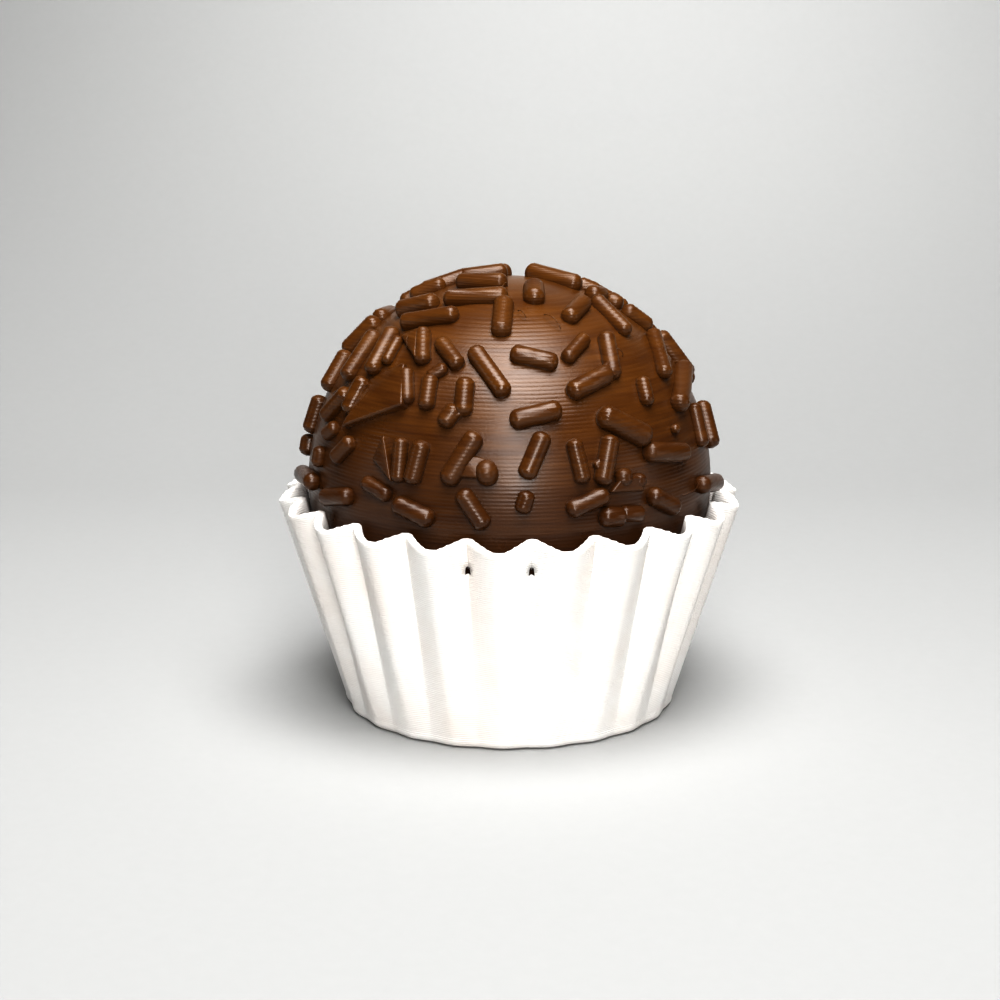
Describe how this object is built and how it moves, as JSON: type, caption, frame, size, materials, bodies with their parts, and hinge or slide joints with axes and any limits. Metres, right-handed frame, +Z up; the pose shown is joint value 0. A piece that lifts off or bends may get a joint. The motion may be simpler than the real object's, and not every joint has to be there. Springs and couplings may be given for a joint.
{
  "type": "plastic copy of a brigadeiro",
  "caption": "Printed plastic copy of a brigadeiro: a brown ball set all over with raised sprinkles, resting in a white pleated cup.",
  "frame": {"origin": "centre of the cup's flat underside", "axes": "+Z up through the cup and the ball, -Y towards the front; the pleats repeat evenly about Z"},
  "size_m": [0.0366, 0.0368, 0.0353],
  "materials": {
    "cup_white": "white printed plastic with fine level layer lines",
    "ball_brown": "chocolate-brown printed plastic, half-glossy, with fine level layer lines"
  },
  "bodies": {
    "root": {"cup": "cup_white", "ball": "ball_brown"}
  },
  "joints": []
}
